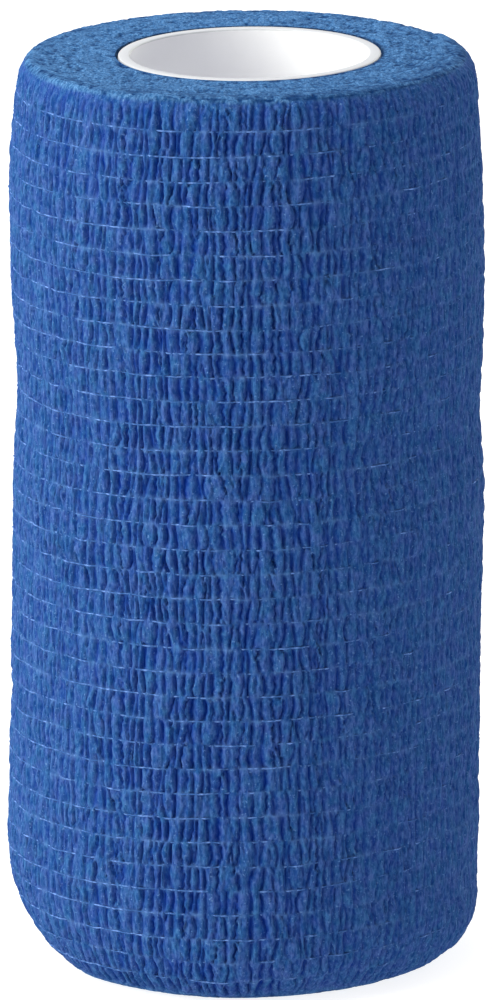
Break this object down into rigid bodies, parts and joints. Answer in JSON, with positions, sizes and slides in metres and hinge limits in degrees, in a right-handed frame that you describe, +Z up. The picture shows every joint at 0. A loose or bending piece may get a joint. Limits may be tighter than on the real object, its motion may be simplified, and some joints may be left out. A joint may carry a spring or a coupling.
{
  "type": "cohesive bandage roll",
  "caption": "Roll of crinkled self-adherent elastic bandage wound on an open plastic tube, standing on its end.",
  "frame": {"origin": "middle of the roll's outline on the surface it stands on", "axes": "+Z up along the axis of the roll, -Y towards its front, the cut end of the cloth on the +Y side"},
  "size_m": [0.0526, 0.0516, 0.1],
  "materials": {
    "bandage_cloth": "matt crinkled non-woven cloth",
    "core_tube": "smooth satin white"
  },
  "bodies": {
    "root": {"bandage": "bandage_cloth", "core": "core_tube"}
  },
  "joints": []
}
